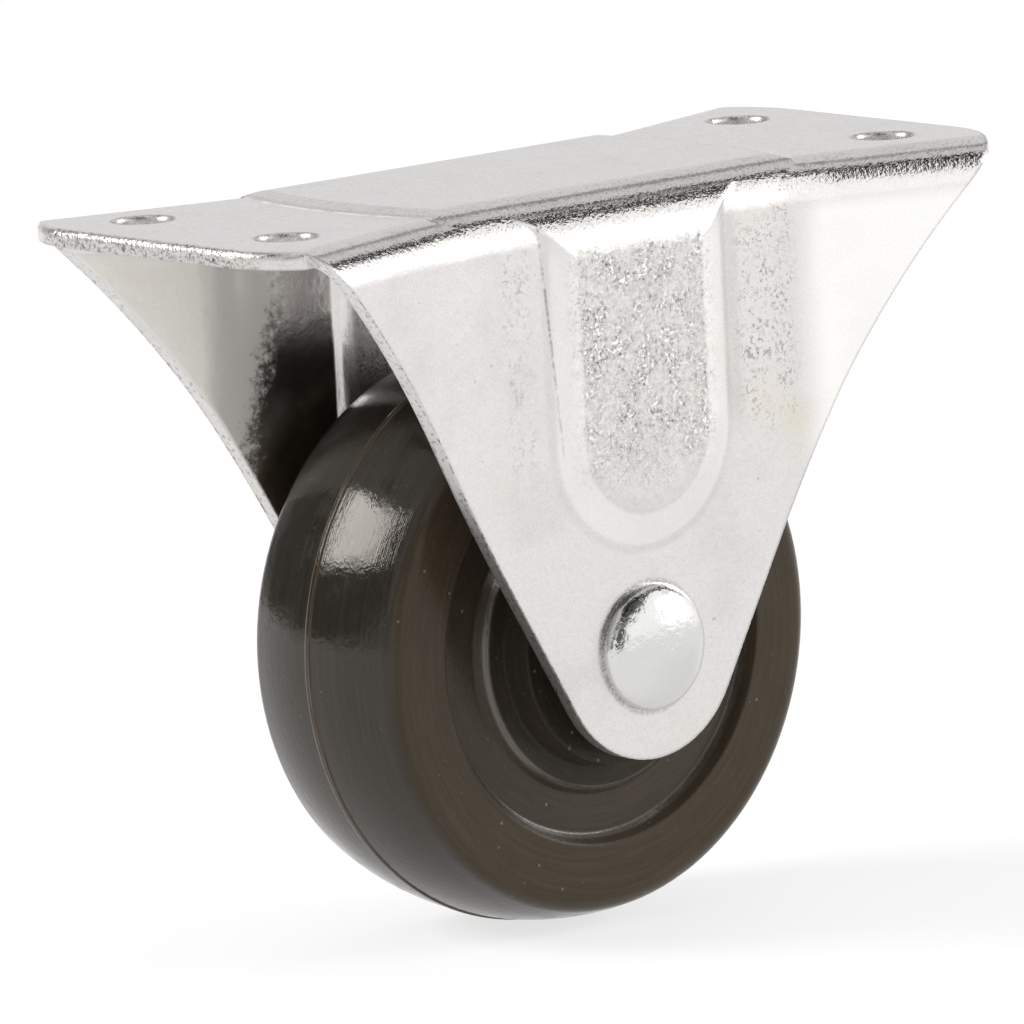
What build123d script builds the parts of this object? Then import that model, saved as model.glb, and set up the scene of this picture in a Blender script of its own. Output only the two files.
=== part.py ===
from build123d import *
import os
from math import asin, cos, degrees, radians, sin, tan

# A fixed plate castor: a fork pressed from one sheet, a moulded wheel, and the sleeve
# and rivet that carry it. Millimetres. X runs along the plate, Y along the axle, Z up.
# The origin is the middle of the raised mounting face on top of the plate.

os.makedirs("parts", exist_ok=True)

# Sheet and plate
sheet = 1.5                 # thickness of the pressed sheet
plate_length = 83.5
plate_corner_radius = 10.0  # rounding where the plate's end meets its cut corner
plate_corner_y = 15.3       # half width at which the end turns into the cut corner
plate_corner_angle = 49.5   # turn from the plate's end to the cut corner, degrees
plate_edge_rounding = 0.6   # where the die drew in the plate's top edge as it cut the blank
pad_step = 0.5              # drop from the raised middle to the screw pads
middle_top_length = 40.6    # raised middle along the centre line, at its top
middle_slope_length = 2.2   # run of the slope down to each screw pad
middle_bow_radius = 40.0    # bow of the raised middle's two ends
screw_hole_from_end = 7.75  # plate's end to the middle of a screw hole
screw_spacing_y = 19.0
screw_hole_diameter = 5.2
screw_hole_rim = 0.25       # width and depth of the rim that the punch drew in

# Legs
fork_width = 29.4           # across the outer faces of the two legs, at the middle
flare_start = 19.6          # distance from the middle at which a leg turns outward
flare_angle = 16.2          # turn of the flared ends, degrees
flare_blend_radius = 30.0
bend_radius = 3.5           # outside of the bend between screw pads and legs
axle_drop = 40.1            # mounting face to axle
tip_radius = 9.8            # rounded lower end of each leg
leg_edge_angle = 29.8       # side edges of a leg, from the vertical, degrees
leg_edge_straight_to = 21.8 # depth at which the straight side edge starts to curve out
leg_edge_radius = 88.0

# Stiffening panel pressed outward in each leg
panel_rise = 0.9
panel_half_width = 10.5     # at its foot
panel_side_slope = 2.2      # run of the slope along its sides
panel_end_slope = 4.4       # run of the slope at its rounded lower end
panel_depth = 31.9          # mounting face to the foot of the rounded end
panel_brow_radius = 6.0     # where its slopes turn into its face
panel_bend_radius = 5.5     # outside of the bend between plate and panel

# Wheel
wheel_diameter = 50.8
wheel_width = 19.0
crown_radius = 25.0
shoulder_radius = 1.8
rim_inner_radius = 17.85
web_width = 16.5
web_outer_radius = 17.0
collar_width = 18.5
collar_radius = 12.8
collar_root_radius = 13.6
hub_length = 23.6
hub_radius = 10.6
hub_root_radius = 11.1
wheel_side_gap = 0.3        # hub to the leg at +Y, against which the wheel has slid
parting_line_height = 0.12
parting_line_width = 0.5

# Axle
rivet_diameter = 6.3
rivet_head_diameter = 11.1
rivet_head_rim = 0.3
rivet_head_height = 2.5
rivet_tail_diameter = 9.4
rivet_tail_rim = 0.5
rivet_tail_height = 1.9
sleeve_wall = 1.5
rivet_clearance = 0.05      # all round the rivet, in the legs and the sleeve
wheel_clearance = 0.08      # all round the sleeve, in the wheel

# Worked out from the sizes above
half_plate = plate_length / 2
half_fork = fork_width / 2
inner_half_fork = half_fork - sheet
middle_foot_length = middle_top_length + 2 * middle_slope_length
middle_bend_radius = bend_radius + pad_step     # both bends end level on the leg
screw_spacing_x = plate_length - 2 * screw_hole_from_end
wheel_offset = inner_half_fork - wheel_side_gap - hub_length / 2
rivet_radius = rivet_diameter / 2
rivet_hole_radius = rivet_radius + rivet_clearance
sleeve_radius = rivet_hole_radius + sleeve_wall
ellipse_pull = 0.5523       # where a quarter ellipse's curve has its control points
overrun = 5.0               # how far cutting and forming shapes pass what they shape
form_reach = half_plate + overrun
form_bottom = axle_drop + tip_radius + overrun


def side_y(x):
    """Half width over the legs' outer faces at a distance x from the middle."""
    return half_fork + max(0.0, abs(x) - flare_start) * tan(radians(flare_angle))


def mirrored(points):
    """The points, then their mirror images across Y, in one run round an outline."""
    return points + [(-x, y) for x, y in reversed(points)]


def bar(half_width, top, radius, bottom):
    """A long bar along X, flat on top, with its two long top edges rounded."""
    solid = Pos(0, 0, (top - bottom) / 2) * Box(2 * form_reach, 2 * half_width, top + bottom)
    edges = solid.edges().filter_by(Axis.X).group_by(Axis.Z)[-1]
    return fillet(edges, radius)


def channel(inset):
    """The folded form with its flared sides, at screw pad level, drawn in by inset."""
    right = [(flare_start, half_fork), (form_reach, side_y(form_reach))]
    upper = [(-x, y) for x, y in reversed(right)] + right
    outline = Polygon(*upper, *[(-x, -y) for x, y in upper], align=None)
    knees = outline.vertices().filter_by(lambda v: abs(v.X) < form_reach - overrun)
    outline = fillet(knees, flare_blend_radius)
    if inset:
        outline = offset(outline, -inset)
    depth = form_bottom + inset - pad_step
    solid = extrude(Pos(0, 0, -form_bottom - 2 * inset) * outline, depth, dir=(0, 0, 1))
    top_edges = solid.faces().sort_by(Axis.Z)[-1].edges()
    long_edges = top_edges.filter_by(lambda e: abs(e.center().X) < form_reach - overrun)
    return fillet(long_edges, bend_radius - inset)


def middle_outline(length):
    """Plan of the raised middle, with both ends bowed outward."""
    half_width = half_fork + overrun
    bow = middle_bow_radius - (middle_bow_radius**2 - half_width**2) ** 0.5
    side = length / 2 - bow
    right = ThreePointArc((side, -half_width), (length / 2, 0), (side, half_width))
    left = ThreePointArc((-side, half_width), (-length / 2, 0), (-side, -half_width))
    top = Line((side, half_width), (-side, half_width))
    bottom = Line((-side, -half_width), (side, -half_width))
    return make_face([right, top, left, bottom])


def raised_middle(inset):
    """The raised middle of the plate, sloping down to the screw pads at its two ends."""
    foot = middle_outline(middle_foot_length)
    crown = middle_outline(middle_top_length)
    slope = loft([Pos(0, 0, -pad_step - inset) * foot, Pos(0, 0, -inset) * crown], ruled=True)
    below = extrude(Pos(0, 0, -pad_step - inset) * foot, middle_bend_radius, dir=(0, 0, -1))
    bounds = bar(half_fork - inset, -inset, middle_bend_radius - inset, form_bottom)
    return (slope + below) & bounds


def panel_outline(level, y):
    """Corners of a leg's panel at a level from its foot, 0, to its face, 1, and its end's arc."""
    half_width = panel_half_width - panel_side_slope * level
    end_z = -panel_depth + panel_end_slope * level + half_width
    corners = [(half_width, y, end_z), (half_width, y, overrun)]
    corners += [(-x, y, z) for x, y, z in reversed(corners)]
    return corners, ThreePointArc(corners[-1], (0, y, end_z - half_width), corners[0])


def panel(inset):
    """The panel of the leg at +Y, which runs up into the bend."""
    face = half_fork - inset
    foot, foot_arc = panel_outline(-1, face - panel_rise)
    crown, crown_arc = panel_outline(1, face + panel_rise)
    walls = [
        Face(Wire.make_polygon([foot[i], foot[i + 1], crown[i + 1], crown[i]]))
        for i in range(len(foot) - 1)
    ]
    end = Face.make_surface_from_curves(foot_arc, crown_arc)
    ends = [make_face([Polyline(*foot), foot_arc]), make_face([Polyline(*crown), crown_arc])]
    solid = Solid(Shell(walls + [end] + [cap.face() for cap in ends]))
    brow = solid.faces().sort_by(Axis.Y)[-1].edges().sort_by(Axis.Z)[:-1]
    solid = fillet(brow, panel_brow_radius - inset)
    bounds = bar(face + panel_rise, -inset, panel_bend_radius - inset, form_bottom)
    return solid & bounds


def form(inset):
    """The pressed form as a solid block, drawn in by inset; its +Y half is complete."""
    return channel(inset) + raised_middle(inset) + panel(inset)


def plate_outline():
    """Plan of the plate, with its cut and rounded corners."""
    run = form_reach - plate_corner_y
    cut_x = half_plate - run * tan(radians(plate_corner_angle))
    right = [(half_plate, -plate_corner_y), (half_plate, plate_corner_y), (cut_x, form_reach)]
    points = [(cut_x, -form_reach)] + right
    outline = Polygon(*mirrored(points), align=None)
    corners = outline.vertices().filter_by(lambda v: abs(abs(v.X) - half_plate) < sheet / 2)
    return fillet(corners, plate_corner_radius)


def blank_limits():
    """The space that the blank's outline leaves, its top edge rounded at screw pad level."""
    prism = extrude(Pos(0, 0, -form_bottom) * plate_outline(), form_bottom - pad_step)
    ends = prism.faces().sort_by(Axis.Z)[-1].edges().filter_by(lambda e: abs(e.center().X) > half_plate / 2)
    prism = fillet(ends, plate_edge_rounding)
    over_middle = Pos(0, 0, -form_bottom) * Box(
        middle_foot_length + 2 * overrun,
        2 * form_reach,
        form_bottom,
        align=(Align.CENTER, Align.CENTER, Align.MIN),
    )
    return prism + over_middle


def leg_outline():
    """Outline of a leg in X and Z: rounded tip, straight edges, then a sweep outward."""
    angle = radians(leg_edge_angle)
    tip_x = tip_radius * cos(angle)
    tip_z = -axle_drop - tip_radius * sin(angle)
    bend_x = tip_x + (-leg_edge_straight_to - tip_z) * tan(angle)
    turn = asin(sin(angle) + (leg_edge_straight_to + overrun) / leg_edge_radius) - angle
    edge = Line((tip_x, tip_z), (bend_x, -leg_edge_straight_to))
    sweep_out = JernArc(edge @ 1, edge % 1, leg_edge_radius, -degrees(turn))
    top = Line(sweep_out @ 1, ((sweep_out @ 1).X * -1, (sweep_out @ 1).Y))
    tip = ThreePointArc((-tip_x, tip_z), (0, -axle_drop - tip_radius), (tip_x, tip_z))
    right = [edge, sweep_out]
    return make_face(right + [top, tip] + [line.mirror(Plane.YZ) for line in right])


def half_pressing():
    """The +Y half of the pressed sheet, before its holes."""
    pressing = form(0) - form(sheet)
    pressing &= blank_limits()
    leg = extrude(Plane.XZ * leg_outline(), form_reach, dir=(0, 1, 0))
    corner_y = side_y(half_plate) - bend_radius
    plate_zone = Pos(0, 0, -pad_step - sheet) * Box(
        plate_length, corner_y, overrun, align=(Align.CENTER, Align.MIN, Align.MIN)
    )
    return pressing & (leg + plate_zone)


def screw_punch():
    """What a screw hole leaves open: its bore, with a rim drawn in from the top."""
    radius = screw_hole_diameter / 2
    rim_radius = radius + screw_hole_rim
    wall = [(0, -overrun), (radius, -overrun), (radius, -pad_step - screw_hole_rim)]
    rim = [(rim_radius, -pad_step), (rim_radius, overrun), (0, overrun)]
    return revolve(Plane.XZ * make_face(Polyline(*wall, *rim, close=True)), Axis.Z)


def fork():
    """The plate and both legs, pressed from one sheet."""
    half = half_pressing()
    pressing = half + mirror(half, about=Plane.XZ)
    axle_hole = Pos(0, 0, -axle_drop) * Rot(90, 0, 0) * Cylinder(rivet_hole_radius, 2 * form_reach)
    screw_holes = GridLocations(screw_spacing_x, screw_spacing_y, 2, 2) * screw_punch()
    return pressing - (axle_hole + screw_holes)


def turned(profile):
    """A profile in radius and distance along the axle, turned about the axle."""
    return Pos(0, 0, -axle_drop) * revolve(profile, Axis.Y)


def wheel():
    """The moulded wheel: bored hub, sunk web, rim and a crowned tread."""
    bore_radius = sleeve_radius + wheel_clearance
    tread_radius = wheel_diameter / 2 - parting_line_height
    crown_drop = crown_radius - (crown_radius**2 - (wheel_width / 2) ** 2) ** 0.5
    side = [
        (bore_radius, hub_length / 2),
        (hub_radius, hub_length / 2),
        (hub_root_radius, collar_width / 2),
        (collar_radius, collar_width / 2),
        (collar_root_radius, web_width / 2),
        (web_outer_radius, web_width / 2),
        (rim_inner_radius, wheel_width / 2),
        (tread_radius - crown_drop, wheel_width / 2),
    ]
    other_side = [(r, -y) for r, y in reversed(side)]
    tread = ThreePointArc(side[-1], (tread_radius, 0), other_side[0])
    profile = make_face([Polyline(*side), tread, Polyline(*other_side, side[0])])
    shoulders = profile.vertices().sort_by(Axis.X)[-2:]
    profile = fillet(shoulders, shoulder_radius)
    parting_line = Pos(wheel_diameter / 2, 0) * Rectangle(
        tread_radius - rim_inner_radius, parting_line_width, align=(Align.MAX, Align.CENTER)
    )
    return Pos(0, wheel_offset, 0) * turned(profile + parting_line)


def axle_sleeve():
    """The spacer tube between the legs, on which the wheel turns."""
    wall = Pos(rivet_hole_radius + sleeve_wall / 2, 0) * Rectangle(sleeve_wall, 2 * inner_half_fork)
    return turned(wall)


def round_head(top, edge):
    """A quarter of an ellipse, from the head's top on the axle to the rim, where it is steep."""
    near_top = (edge.X * ellipse_pull, top[1])
    near_edge = (edge.X, edge.Y + (top[1] - edge.Y) * ellipse_pull)
    return Bezier(top, near_top, near_edge, (edge.X, edge.Y))


def axle_rivet():
    """The rivet through both legs, with its formed head on -Y and its upset tail on +Y."""
    head_radius = rivet_head_diameter / 2
    tail_radius = rivet_tail_diameter / 2
    head_top = (0, -half_fork - rivet_head_height)
    tail_top = (0, half_fork + rivet_tail_height)
    outline = Polyline(
        (head_radius, -half_fork - rivet_head_rim),
        (head_radius, -half_fork),
        (rivet_radius, -half_fork),
        (rivet_radius, half_fork),
        (tail_radius, half_fork),
        (tail_radius, half_fork + rivet_tail_rim),
    )
    head = round_head(head_top, outline @ 0)
    tail = TangentArc(tail_top, outline @ 1, tangent=(1, 0))
    return turned(make_face([head, outline, tail, Line(tail_top, head_top)]))


export_step(fork(), "parts/fork.step")
export_step(wheel(), "parts/wheel.step")
export_step(axle_sleeve(), "parts/axle_sleeve.step")
export_step(axle_rivet(), "parts/axle_rivet.step")
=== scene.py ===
import math
from types import SimpleNamespace

import bpy
from mathutils import Matrix, Vector


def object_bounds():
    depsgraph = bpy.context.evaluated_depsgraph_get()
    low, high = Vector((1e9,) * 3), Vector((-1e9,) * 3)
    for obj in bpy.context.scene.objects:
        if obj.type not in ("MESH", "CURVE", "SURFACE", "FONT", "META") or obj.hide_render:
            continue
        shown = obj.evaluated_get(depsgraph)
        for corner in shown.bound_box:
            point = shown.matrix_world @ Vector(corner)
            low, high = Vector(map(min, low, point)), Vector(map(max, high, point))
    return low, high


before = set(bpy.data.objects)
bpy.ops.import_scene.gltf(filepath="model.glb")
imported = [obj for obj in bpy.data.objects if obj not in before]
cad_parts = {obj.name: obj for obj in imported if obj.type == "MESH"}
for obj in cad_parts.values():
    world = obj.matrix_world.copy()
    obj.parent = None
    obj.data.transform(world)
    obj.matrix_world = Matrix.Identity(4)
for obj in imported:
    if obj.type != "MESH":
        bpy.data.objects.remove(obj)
cad_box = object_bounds()

MM_PER_METRE = 1000

# Camera, from the photograph: angles in degrees, the rest in metres and pixels
AZIMUTH, ELEVATION, ROLL = 40.415, 9.360, 2.786
DISTANCE = 1.25
PIXELS_PER_METRE = 11602.4
IMAGE_SIZE = 1024
PAD_PIXEL = (517.19, 177.24)     # where the middle of the plate shows, at screw pad level
PAD_DEPTH = 0.0005               # mounting face to screw pads
NEAREST, FARTHEST = 0.01, 10     # what the camera sees at all

# Sizes of the part that the finishes follow, in millimetres
SHEET = 1.5
HALF_FORK = 14.7
FLARE_START, FLARE_SLOPE = 19.6, 0.2905
BEND_DEPTH = 4.0
HALF_PLATE = 41.75
MIDDLE_END, MIDDLE_BOW = 22.5, 0.0125   # where the raised middle ends; 1 / (2 x its bow's radius)
AXLE_DROP = 40.1
PANEL_HALF_WIDTH, PANEL_END = 10.5, 31.9
WHEEL_OFFSET = 1.1
TREAD_HALF_WIDTH = 9.5

# Borders between two looks, in millimetres: where the first ends and where the second is full
LEG_DEPTHS = (BEND_DEPTH - 1.5, BEND_DEPTH + 1.5)
TIP_DEPTHS = (40, 42)
DRAWN_EDGE = (HALF_PLATE - 0.9, HALF_PLATE - 0.3)
MIDDLE_FOOT, MIDDLE_FOOT_SHADE = (0.30, 0.10), (0.4, 0.1)
PANEL_FACE = (PANEL_HALF_WIDTH - 1.2, PANEL_HALF_WIDTH - 3.4)
FROST_BEGINS, FROST_ENDS = (3, 6), (29, 20)
# Border of the painted highlight on the flared leg ends
FLARE_HIGHLIGHT = (17.5, 22)
# Border of the painted reflection on the legs' inner faces
REFLECTION_BORDER = (18.8, 21.5)
CREASE_WIDTH = (0.16, 0.04)
TREAD_SIDE = (TREAD_HALF_WIDTH, TREAD_HALF_WIDTH - 1.2)
SHOULDER_RADII, CROWN_RADII = (23, 23.6), (24.9, 25.1)
WEB_RADII, COLLAR_RADII = (17.6, 17.2), (13.5, 12.5)
# Width of the painted highlight rings on the wheel
HIGHLIGHT_RING_WIDTH = (0.30, 0.08)

# Marks on the fork, in millimetres: where each begins and ends, and its soft border outside
PANEL_SLOPE = (PANEL_HALF_WIDTH - 3.2, PANEL_HALF_WIDTH - 1.0, 0.5)
LEFT_BAND, RIGHT_BAND, BAND_DEPTHS = (-14.4, -12.3, 1.0), (12.8, 17.0, 2.2), (4, 19, 8)
SHADE, SHADE_DEPTHS = (10.3, 11.3, 1.0), (5, 20, 4)
CREASE_DEPTHS = (3.5, 20, 4)
# Painted contact shadow round the rivet's head: its radii and soft border
RIVET_SHADOW = (5.2, 5.75, 0.35)
CREASE_X, CREASE_TOP, CREASE_LEAN = -10.45, 3.1, 0.0674
# Painted reflection on the legs' inner faces: where it starts, its lean and its mottle
REFLECTION_DEPTH, REFLECTION_LEAN, REFLECTION_MOTTLE = 12, 0.3, 6
SMUDGE = ((25.0, -16.3, -11.1), 2.4, 0.12)      # centre, radius and strength
STAINS = (
    ((17.8, -14.7, -22.5), 3.2, 0.45),
    ((-8.4, 10.4, 0), 4.5, 0.20),
    ((14.5, -14.7, -20.0), 4.0, 0.25),
)

# Marks on the wheel, in millimetres: the painted highlight rings' radii, and the mould flash's
# distance from the middle of the tread
HIGHLIGHT_RINGS = (17.15, 12.95)
FLASH = (0.16, 0.34, 0.05)

# Colours, as linear red, green and blue
# The pale zinc is the colour of the painted highlights
ZINC, DARK_ZINC, HIGHLIGHT_ZINC = (0.735, 0.712, 0.703), (0.10, 0.098, 0.085), (0.95, 0.935, 0.925)
# The first is the colour of the painted reflection on the legs' inner faces
REFLECTION_ZINC, STAIN = (0.95, 0.93, 0.88), (0.70, 0.65, 0.52)
SIDE_BROWNS = (0.044, 0.033, 0.021), (0.058, 0.044, 0.029)
TREAD_BROWNS = (0.020, 0.017, 0.014), (0.028, 0.023, 0.018)
# The last is the colour of the painted highlight rings
FLASH_BROWN, DUST, RING_HIGHLIGHT = (0.16, 0.115, 0.075), (0.42, 0.36, 0.28), (0.20, 0.19, 0.17)
WARM_GLOSS = (1.0, 0.93, 0.84, 1)
RIVET, DARK_RIVET = (0.68, 0.675, 0.66), (0.30, 0.29, 0.26)
TUBE, DARK_TUBE = (0.62, 0.61, 0.6), (0.34, 0.33, 0.31)
WHITE, FLOOR_GREY = (1, 1, 1, 1), (0.35, 0.35, 0.35, 1)

# The studio: a white tent with dark seams and a dark room behind it, seen only in reflections
TENT_FRONT = Vector((0.278, -0.822, -0.496))    # middle of the tent's bright front wall
TENT_STOPS = (                                  # height along that direction, and brightness there
    (-1.00, 0.82), (-0.43, 0.84), (-0.385, 0.30), (-0.36, 0.30), (-0.32, 0.80),
    (-0.12, 0.74), (-0.06, 0.01), (0.06, 0.01), (0.13, 1.32), (0.70, 1.30), (1.00, 1.20),
)
DARK_PLACES = (                                 # direction, and degrees off it where the dark
                                                # begins and where it is full
    ((-0.52, 0.69, 0.50), 48, 36),
    ((-0.48, -0.85, 0.22), 19, 15),
    ((-0.12, -0.60, 0.79), 28, 23),
)
DARKNESS = 0.90                                 # share of the light that a dark place takes away
LIGHT_DISTANCE = 1.2                            # metres from the axle
LIGHTS = (                                      # name, its direction, its width's direction,
                                                # size in metres, brightness
    ("window", (-0.64, 0.517, 0.568), (-0.445, -0.851, 0.28), (0.56, 0.50), 10.5),
    ("key", (0.79, -0.52, 0.31), (0.55, 0.83, 0.0), (0.60, 0.42), 5.0),
)
FLOOR_HALF_SIZE = 4.0
FLOOR_GLOW = 0.72


class Field:
    """A number in a node tree, so that the formulas of a finish read as plain arithmetic."""

    def __init__(self, tree, socket):
        self.tree, self.socket = tree, socket

    def node(self, kind, *values, output=0, **settings):
        """The output of a new node whose first inputs are this field and the values."""
        new = self.tree.nodes.new(kind)
        for name, setting in settings.items():
            setattr(new, name, setting)
        for value, target in zip((self, *values), new.inputs):
            feed(self.tree, value, target)
        return Field(self.tree, new.outputs[output])

    def maths(self, operation, *values):
        return self.node("ShaderNodeMath", *values, operation=operation)

    def __add__(self, other):
        return self.maths("ADD", other)

    def __sub__(self, other):
        return self.maths("SUBTRACT", other)

    def __mul__(self, other):
        return self.maths("MULTIPLY", other)

    def __neg__(self):
        return self.maths("MULTIPLY", -1)

    def __abs__(self):
        return self.maths("ABSOLUTE")

    def power(self, exponent):
        return self.maths("POWER", exponent)

    def most(self, other):
        return self.maths("MAXIMUM", other)

    def rise(self, start, end):
        """0 before start, 1 after end and smooth between; start may be above end."""
        return self.node("ShaderNodeMapRange", start, end, interpolation_type="SMOOTHSTEP")

    def inside(self, low, high, soft):
        """1 between low and high, fading to 0 over a soft border outside."""
        return self.rise(low - soft, low) * self.rise(high + soft, high)

    def unless(self, mask):
        """This field where the mask is 0, and 0 where it is 1."""
        return self - self * mask


def feed(tree, value, target):
    """Gives a node's input a field, a colour or a number."""
    if isinstance(value, Field):
        tree.links.new(value.socket, target)
    else:
        target.default_value = value


def layered(*layers):
    """The sum of fields, each times its own strength."""
    first, *others = [field * strength for field, strength in layers]
    return sum(others, first)


class Finish:
    """A material with one Principled shader, whose pattern lies in the part's own millimetres."""

    def __init__(self, name, **sockets):
        self.material = bpy.data.materials.new(name)
        self.material.use_nodes = True
        self.tree = self.material.node_tree
        self.shader = self.tree.nodes["Principled BSDF"]
        for socket, value in sockets.items():
            self.set(socket, value)
        coordinates = self.tree.nodes.new("ShaderNodeTexCoord")
        place = Field(self.tree, coordinates.outputs["Object"])
        scale = (MM_PER_METRE, MM_PER_METRE, MM_PER_METRE)
        self.place = place.node("ShaderNodeVectorMath", scale, operation="MULTIPLY")
        self.x, self.y, self.z = self.split(self.place)
        self.facing = self.split(Field(self.tree, coordinates.outputs["Normal"]))

    def split(self, vector):
        parts = self.tree.nodes.new("ShaderNodeSeparateXYZ")
        feed(self.tree, vector, parts.inputs[0])
        return [Field(self.tree, output) for output in parts.outputs]

    def join(self, x, y, z):
        parts = self.tree.nodes.new("ShaderNodeCombineXYZ")
        for value, target in zip((x, y, z), parts.inputs):
            feed(self.tree, value, target)
        return Field(self.tree, parts.outputs[0])

    def length(self, x, z):
        """How far a point of the XZ plane lies from its origin."""
        return self.join(x, 0.0, z).node("ShaderNodeVectorMath", operation="LENGTH", output=1)

    def set(self, socket, value):
        feed(self.tree, value, self.shader.inputs[socket.replace("_", " ")])

    def shift(self, x, y, z):
        """The place, moved, so that a second pattern differs from the first."""
        return self.place.node("ShaderNodeVectorMath", (x, y, z), operation="ADD")

    def stretch(self, x, y, z):
        """The place, scaled along each axis, for patterns with a direction."""
        return self.place.node("ShaderNodeVectorMath", (x, y, z), operation="MULTIPLY")

    def noise(self, lumps, detail, place=None, roughness=0.5):
        """Cloudy noise between 0 and 1: lumps to the millimetre, and octaves of finer detail."""
        new = self.tree.nodes.new("ShaderNodeTexNoise")
        feed(self.tree, place or self.place, new.inputs["Vector"])
        new.inputs["Scale"].default_value = lumps
        new.inputs["Detail"].default_value = detail
        new.inputs["Roughness"].default_value = roughness
        return Field(self.tree, new.outputs["Fac"])

    def grains(self, cells, place=None):
        """Distance to the nearest of scattered points, this many of them to the millimetre."""
        new = self.tree.nodes.new("ShaderNodeTexVoronoi")
        feed(self.tree, place or self.place, new.inputs["Vector"])
        new.inputs["Scale"].default_value = cells
        return Field(self.tree, new.outputs["Distance"])

    def spot(self, centre, radius):
        """1 at a place and 0 from a radius on, all in millimetres."""
        gap = self.place.node("ShaderNodeVectorMath", centre, operation="DISTANCE", output=1)
        return gap.rise(radius, 0)

    def blend(self, amount, first, second):
        """A colour between two, by a field."""
        new = self.tree.nodes.new("ShaderNodeMix")
        new.data_type = "RGBA"
        new.clamp_factor = True
        for value, target in ((amount, "Factor_Float"), (first, "A_Color"), (second, "B_Color")):
            socket = next(s for s in new.inputs if s.identifier == target)
            feed(self.tree, value if isinstance(value, Field) else (*value, 1), socket)
        socket = next(s for s in new.outputs if s.identifier == "Result_Color")
        return Field(self.tree, socket)

    def bump(self, height, depth, under=None):
        """Relief, with its depth in millimetres between heights 0 and 1."""
        new = self.tree.nodes.new("ShaderNodeBump")
        new.inputs["Distance"].default_value = depth / MM_PER_METRE
        feed(self.tree, height, new.inputs["Height"])
        if under:
            feed(self.tree, under, new.inputs["Normal"])
        return Field(self.tree, new.outputs[0])

    def round_edges(self, radius):
        """Normals that turn sharp edges into rounded ones, of this radius in millimetres."""
        new = self.tree.nodes.new("ShaderNodeBevel")
        new.inputs["Radius"].default_value = radius / MM_PER_METRE
        return Field(self.tree, new.outputs[0])


def add_camera():
    """The camera that took the photograph: a long lens that looks a little down."""
    azimuth, elevation, roll = (math.radians(a) for a in (AZIMUTH, ELEVATION, ROLL))
    level_right = Vector((math.cos(azimuth), -math.sin(azimuth), 0))
    forward = Vector(
        (
            math.sin(azimuth) * math.cos(elevation),
            math.cos(azimuth) * math.cos(elevation),
            -math.sin(elevation),
        )
    )
    level_up = level_right.cross(forward)
    right = level_right * math.cos(roll) - level_up * math.sin(roll)
    up = level_right * math.sin(roll) + level_up * math.cos(roll)
    across = (PAD_PIXEL[0] - IMAGE_SIZE / 2) / PIXELS_PER_METRE
    above = (IMAGE_SIZE / 2 - PAD_PIXEL[1]) / PIXELS_PER_METRE
    place = Vector((0, 0, -PAD_DEPTH)) - forward * DISTANCE - right * across - up * above
    data = bpy.data.cameras.new("camera")
    data.lens = PIXELS_PER_METRE * DISTANCE / IMAGE_SIZE * data.sensor_width
    data.clip_start, data.clip_end = NEAREST, FARTHEST
    camera = bpy.data.objects.new("camera", data)
    turn = Matrix((right, up, -forward)).transposed().to_4x4()
    camera.matrix_world = Matrix.Translation(place) @ turn
    bpy.context.scene.collection.objects.link(camera)
    bpy.context.scene.camera = camera


def add_light(name, toward, along, size, brightness):
    """A rectangular light in a direction from the castor, with its width along another one."""
    data = bpy.data.lights.new(name, "AREA")
    data.shape = "RECTANGLE"
    data.size, data.size_y = size
    data.energy = brightness * math.pi * size[0] * size[1]
    light = bpy.data.objects.new(name, data)
    away = Vector(toward).normalized()
    width = (Vector(along) - away * away.dot(Vector(along))).normalized()
    turn = Matrix((width, away.cross(width), away)).transposed().to_4x4()
    axle = Vector((0, 0, -AXLE_DROP / MM_PER_METRE))
    light.matrix_world = Matrix.Translation(axle + away * LIGHT_DISTANCE) @ turn
    bpy.context.scene.collection.objects.link(light)


def add_floor():
    """A wide pale floor under the wheel."""
    low = cad_box[0][2]
    corners = ((-1, -1), (1, -1), (1, 1), (-1, 1))
    points = [(x * FLOOR_HALF_SIZE, y * FLOOR_HALF_SIZE, low) for x, y in corners]
    mesh = bpy.data.meshes.new("floor")
    mesh.from_pydata(points, [], [(0, 1, 2, 3)])
    floor = bpy.data.objects.new("floor", mesh)
    bpy.context.scene.collection.objects.link(floor)
    pale = Finish("pale_floor", Base_Color=FLOOR_GREY, Roughness=0.9, Specular_IOR_Level=0.0)
    pale.set("Emission_Color", WHITE)
    pale.set("Emission_Strength", FLOOR_GLOW)
    pale.material.cycles.emission_sampling = "NONE"
    mesh.materials.append(pale.material)


def add_world():
    """The tent's brightness in each direction."""
    world = bpy.data.worlds.new("studio")
    bpy.context.scene.world = world
    world.use_nodes = True
    world.cycles.sampling_method = "NONE"
    tree = world.node_tree
    direction = Field(tree, tree.nodes.new("ShaderNodeTexCoord").outputs["Generated"])
    dot = {"operation": "DOT_PRODUCT", "output": 1}
    along = direction.node("ShaderNodeVectorMath", TENT_FRONT, **dot)
    ramp = tree.nodes.new("ShaderNodeValToRGB")
    feed(tree, along * 0.5 + 0.5, ramp.inputs[0])
    stops = ramp.color_ramp.elements
    while len(stops) < len(TENT_STOPS):
        stops.new(0.5)
    for stop, (height, brightness) in zip(stops, TENT_STOPS):
        stop.position = height * 0.5 + 0.5
        stop.color = (brightness, brightness, brightness, 1)
    light = Field(tree, ramp.outputs[0])
    for centre, begin, full in DARK_PLACES:
        near = direction.node("ShaderNodeVectorMath", Vector(centre).normalized(), **dot)
        dark = near.rise(math.cos(math.radians(begin)), math.cos(math.radians(full)))
        light = light.unless(dark * DARKNESS)
    feed(tree, WHITE, tree.nodes["Background"].inputs["Color"])
    feed(tree, light, tree.nodes["Background"].inputs["Strength"])


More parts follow.
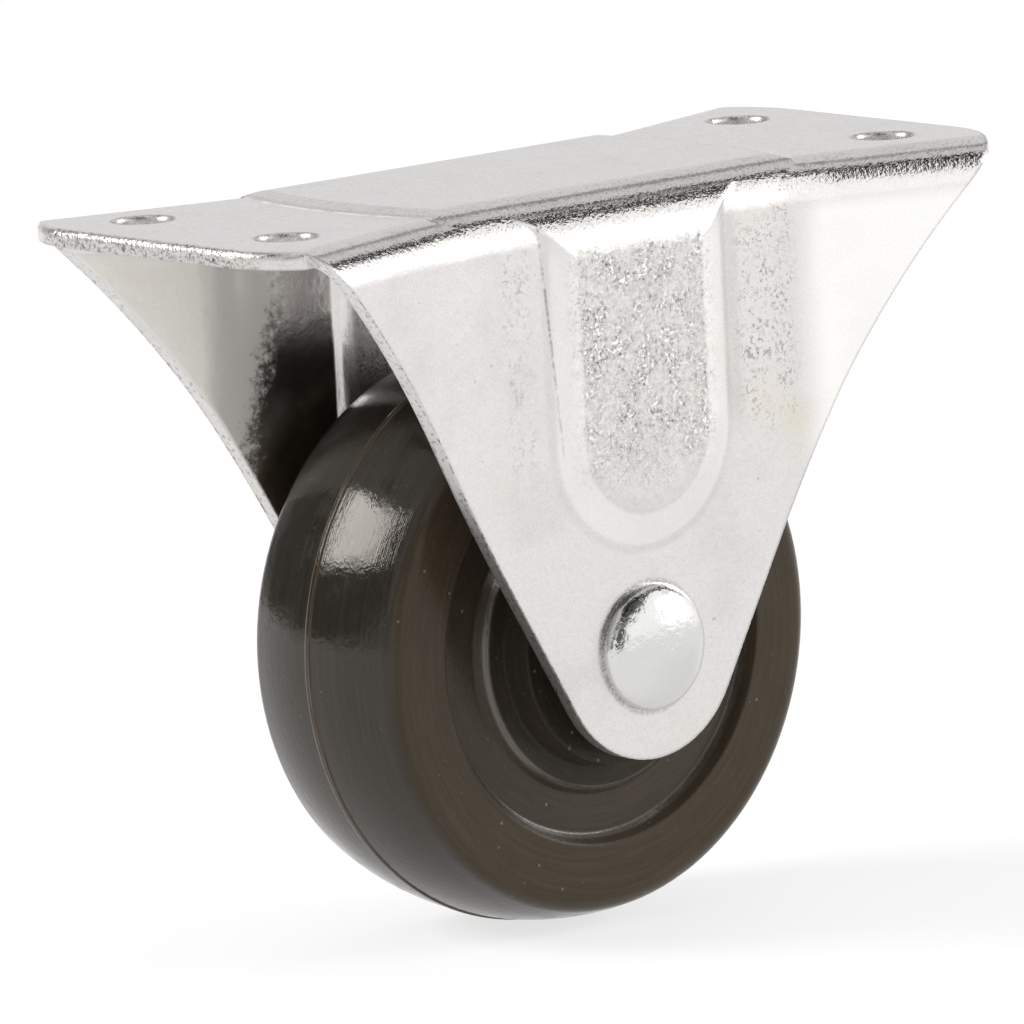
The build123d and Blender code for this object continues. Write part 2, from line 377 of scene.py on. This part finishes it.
def fork_forms(finish):
    """Masks that are 1 on a form of the fork and 0 elsewhere, and two fields that cross a form."""
    x, y, depth = finish.x, finish.y, -finish.z
    _, facing_y, facing_z = finish.facing
    upright, level = abs(facing_y), abs(facing_z)
    side = (abs(x) - FLARE_START).most(0) * FLARE_SLOPE + HALF_FORK
    on = SimpleNamespace()
    on.through = (abs(y) - side) * (1 / SHEET) + 1     # 0 at a leg's inner face, 1 at its outer face
    on.line = abs(x) + abs(y).power(2) * MIDDLE_BOW - MIDDLE_END    # 0 at the raised middle's end
    on.outer = on.through.rise(0.3, 0.7)
    on.leg = depth.rise(*LEG_DEPTHS)
    on.cut = upright.rise(0.4, 0.3) * level.rise(0.9, 0.8).most(depth.rise(*TIP_DEPTHS))
    on.bend = level.inside(0.45, 0.90, 0.35).unless(on.leg).unless(on.cut)
    on.inner = on.leg.unless(on.outer).unless(on.cut)
    on.flat = level.rise(0.9, 0.97)
    on.foot = abs(on.line).rise(*MIDDLE_FOOT) * on.flat
    on.foot_shade = abs(on.line + 0.5).rise(*MIDDLE_FOOT_SHADE) * on.flat
    on.drawn = abs(x).rise(*DRAWN_EDGE).unless(on.leg)

    reach = finish.length(x, (depth - (PANEL_END - PANEL_HALF_WIDTH)).most(0))
    frosted = depth.rise(*FROST_BEGINS) * depth.rise(*FROST_ENDS)
    on.panel = reach.rise(*PANEL_FACE) * on.outer * frosted
    # Painted highlight on the panel's side slopes
    on.slope = reach.inside(*PANEL_SLOPE) * on.leg * on.outer
    bands = (x.inside(*LEFT_BAND) * 0.6).most(x.inside(*RIGHT_BAND))
    on.bands = bands * depth.inside(*BAND_DEPTHS) * on.outer
    on.shade = x.inside(*SHADE) * depth.inside(*SHADE_DEPTHS) * on.outer
    # Painted contact shadow: a ring round the rivet's head
    on.ring = finish.length(x, finish.z + AXLE_DROP).inside(*RIVET_SHADOW) * on.outer
    # Painted reflection: a pale, less metallic patch on the legs' inner faces, with a mottled
    # border, stands in for the floor's reflection there
    mottle = finish.noise(1.3, 3, roughness=0.7) * REFLECTION_MOTTLE
    bloom = abs(x) + mottle - (depth - REFLECTION_DEPTH) * REFLECTION_LEAN
    on.bloom = on.inner * bloom.rise(*REFLECTION_BORDER)
    # Painted highlight: the flared outer faces of the legs are lightened, standing in for a brighter
    # reflection
    on.flare = x.rise(*FLARE_HIGHLIGHT) * on.outer * on.leg
    return on


def zinc():
    """Bright zinc: satin on the flats, burnished at the bends, frosted where the sheet stretched,
    with painted shade, highlights and reflections.
    """
    finish = Finish("zinc_plate")
    x, depth = finish.x, -finish.z
    on = fork_forms(finish)

    patches = finish.noise(0.5, 2, finish.shift(40, 7, 3), roughness=0.6)
    grain = finish.noise(3.2, 1.5, roughness=0.65)
    fine = finish.noise(7.5, 0, finish.shift(3, 90, 5))
    clouds = finish.noise(0.16, 2).rise(0.45, 0.8)
    brushed = finish.noise(1.0, 1, finish.stretch(0.35, 4, 4), roughness=0.6).rise(0.45, 0.75)
    clusters = patches.rise(0.32, 0.68)
    flecks = finish.noise(2.7, 2, finish.shift(60, 3, 31), roughness=0.8).rise(0.50, 0.64)
    # Painted glints: scattered white dots on the frosted panel
    glints = finish.noise(2.9, 1, finish.shift(20, 50, 3), roughness=0.7).rise(0.56, 0.66)
    mealy = finish.noise(2.2, 2, finish.shift(8, 30, 61), roughness=0.8).rise(0.35, 0.75)
    pitted = finish.noise(0.3, 1, finish.shift(5, 5, 70)).rise(0.45, 0.6)
    pits = finish.grains(0.55).rise(0.09, 0.03) * pitted
    cut_specks = finish.noise(2.4, 3).rise(0.56, 0.66)
    # Painted shade: a thin, broken dark line along the crease at the panel's left foot
    crease_shade = abs(x - CREASE_X - (depth - CREASE_TOP) * CREASE_LEAN + grain * 0.12)
    crease_shade = crease_shade.rise(*CREASE_WIDTH) * depth.inside(*CREASE_DEPTHS) * on.outer
    crease_shade = crease_shade * finish.noise(1.6, 3).rise(0.36, 0.60)
    ticks = on.through.inside(0.93, 1.02, 0.05) * on.cut * on.leg
    ticks = ticks * finish.noise(2.0, 2, finish.shift(7, 1, 1)).rise(0.5, 0.58)
    smudge_centre, smudge_radius, smudge_strength = SMUDGE

    dark = layered(
        (on.panel, 0.06),
        (on.panel * mealy, 0.20),
        (on.panel * clusters, 0.12),
        (on.panel * flecks, 0.08),
        (on.panel * flecks * clusters, 0.50),
        (on.bands, 0.06),
        (on.bands * flecks, 0.06),
        (on.bands * flecks * clusters, 0.50),
        (on.shade, 0.12),
        (pits, 0.35),
        (clouds, 0.08),
        (fine.rise(0.3, 0.75), 0.06),
        (mealy, 0.07),
        # painted reflection: dark speckles along the bends
        (on.bend * flecks, 0.25),
        # painted reflection: dark speckles along the plate's rounded ends
        (on.drawn * flecks, 0.60),
        # painted contact shadow round the rivet
        (on.ring * grain.rise(0.3, 0.6), 0.35),
        # painted shade along the crease
        (crease_shade, 0.50),
        (on.foot_shade, 0.14),
        (on.flat, 0.02),
        (on.flat * brushed, 0.05),
        (on.cut, 0.02),
        (on.cut * cut_specks, 0.45),
        (ticks, 0.60),
        (finish.spot(smudge_centre, smudge_radius), smudge_strength),
    )
    # Painted highlight: a broken light line along the raised middle's foot
    foot_highlight = on.foot * finish.noise(0.5, 2, finish.shift(8, 1, 4)).rise(0.4, 0.55)
    pale = on.flare.most(on.slope * 0.4).most(on.panel * glints * clusters * 0.8).most(foot_highlight)
    warm = layered(
        (finish.noise(0.12, 2, finish.shift(9, 2, 8)).rise(0.5, 0.75), 0.16),
        *((finish.spot(centre, radius), strength) for centre, radius, strength in STAINS),
    )
    colour = finish.blend(dark, ZINC, DARK_ZINC)
    # Painted highlights: flanks, slopes, glints and the foot line blend towards the pale zinc
    colour = finish.blend(pale, colour, HIGHLIGHT_ZINC)
    # Painted reflection: the pale patch on the legs' inner faces
    colour = finish.blend(on.bloom, colour, REFLECTION_ZINC)
    finish.set("Base_Color", finish.blend(warm, colour, STAIN))

    roughness = layered((on.panel, 0.14), (on.bands, 0.10), (fine, 0.08)) + 0.24
    finish.set("Roughness", roughness.unless(on.bend * 0.65).unless(on.inner * 0.4) + on.cut * 0.08)
    finish.set("Metallic", -(on.bloom * 0.7) + 1)
    steep = abs(finish.facing[2]).rise(0.85, 0.70)
    rough = layered((on.bend * steep, 1.4), (on.drawn, 4.0)) + 0.6
    relief = finish.bump((grain * rough).unless(on.inner * 0.6), 0.022, finish.round_edges(0.45))
    finish.set("Normal", finish.bump(patches, 0.03, relief))
    return finish.material


def rubber():
    """Dark moulded rubber: a glossy tread, browner sides, fine rings from its mould, some dust,
    painted highlight rings at its steps and painted shade in its recess and hub.
    """
    finish = Finish("wheel_rubber", Specular_Tint=WARM_GLOSS)
    x, z = finish.x, finish.z + AXLE_DROP
    across = finish.y - WHEEL_OFFSET
    radius = finish.length(x, z)
    turn_x, turn_z = x * radius.power(-1), z * radius.power(-1)
    tread = abs(across).rise(*TREAD_SIDE) * radius.rise(*SHOULDER_RADII)
    recess = radius.rise(*WEB_RADII)
    hub = radius.rise(*COLLAR_RADII)
    outer_ring, inner_ring = (abs(radius - ring).rise(*HIGHLIGHT_RING_WIDTH) for ring in HIGHLIGHT_RINGS)
    ring_highlights = outer_ring.most(inner_ring)
    flash = abs(across).inside(*FLASH) * radius.rise(*CROWN_RADII)

    rings = finish.join(radius * 3 + across * 2.6, turn_x * 2.2, turn_z * 2.2)
    streaks = finish.noise(1.0, 3, rings, roughness=0.65)
    hairs = finish.noise(2.6, 1.5, rings, roughness=0.6)
    mottle = finish.noise(0.55, 2, finish.shift(11, 5, 2), roughness=0.6)
    lumps = finish.noise(1.8, 2, finish.shift(4, 70, 9), roughness=0.6)
    dust = finish.grains(0.62, finish.shift(3, 8, 1)).rise(0.11, 0.05)
    dust = dust * finish.noise(0.35, 2, finish.shift(1, 40, 2)).rise(0.45, 0.6)
    specks = finish.grains(1.5, finish.shift(9, 4, 44)).rise(0.13, 0.06)
    specks = specks * finish.noise(0.8, 2, finish.shift(1, 4, 24)).rise(0.56, 0.66)

    side_brown = finish.blend(streaks.rise(0.35, 0.7), *SIDE_BROWNS)
    tread_brown = finish.blend(streaks.rise(0.3, 0.7), *TREAD_BROWNS)
    # Painted shade: the recess and the hub take in part of the tread's darker browns
    colour = finish.blend(tread.most(recess * 0.35).most(hub * 0.8), side_brown, tread_brown)
    colour = finish.blend(flash * (hairs.rise(0.4, 0.6) * 0.5 + 0.4), colour, FLASH_BROWN)
    colour = finish.blend((dust.most(specks) * 0.4).unless(tread * 0.6), colour, DUST)
    # Painted highlights: thin lighter rings at the steps of the wheel's sides
    colour = finish.blend(ring_highlights * streaks.rise(0.3, 0.6) * 0.25, colour, RING_HIGHLIGHT)
    finish.set("Base_Color", colour)

    roughness = layered((streaks, 0.08), (mottle.rise(0.45, 0.7), 0.10), (tread, -0.12)) + 0.19
    finish.set("Roughness", roughness.unless(ring_highlights * 0.6))
    shine = layered((tread.most(recess * 0.4), 0.20), (ring_highlights, 0.8)) + 0.22
    finish.set("Specular_IOR_Level", shine.unless(hub * 0.45))
    relief = finish.bump(hairs, 0.010, finish.round_edges(0.35))
    finish.set("Normal", finish.bump(lumps, 0.020, relief))
    return finish.material


def rivet():
    """Bright plated steel with small dents from the forming tool."""
    finish = Finish("rivet_steel", Metallic=1.0)
    dents = finish.noise(0.8, 4, finish.shift(2, 9, 4), roughness=0.6)
    fine = finish.noise(5.0, 3, roughness=0.7)
    finish.set("Base_Color", finish.blend(fine.rise(0.5, 0.8) * 0.12, RIVET, DARK_RIVET))
    finish.set("Roughness", dents * 0.12 + 0.05)
    relief = finish.bump(fine, 0.007, finish.round_edges(0.15))
    finish.set("Normal", finish.bump(dents, 0.10, relief))
    return finish.material


def sleeve():
    """Drawn tube, with fine lines round it."""
    finish = Finish("sleeve_steel", Metallic=1.0)
    lines = finish.noise(1.0, 3, finish.stretch(0.4, 6, 0.4))
    finish.set("Base_Color", finish.blend(lines.rise(0.4, 0.7) * 0.4, TUBE, DARK_TUBE))
    finish.set("Roughness", lines * 0.2 + 0.2)
    finish.set("Normal", finish.bump(lines, 0.01))
    return finish.material


def dress(name, material):
    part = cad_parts[name]
    part.data.materials.clear()
    part.data.materials.append(material)


add_camera()
add_world()
add_floor()
for light_settings in LIGHTS:
    add_light(*light_settings)
dress("fork", zinc())
dress("wheel", rubber())
dress("axle_rivet", rivet())
dress("axle_sleeve", sleeve())
bpy.context.scene.view_settings.view_transform = "Standard"
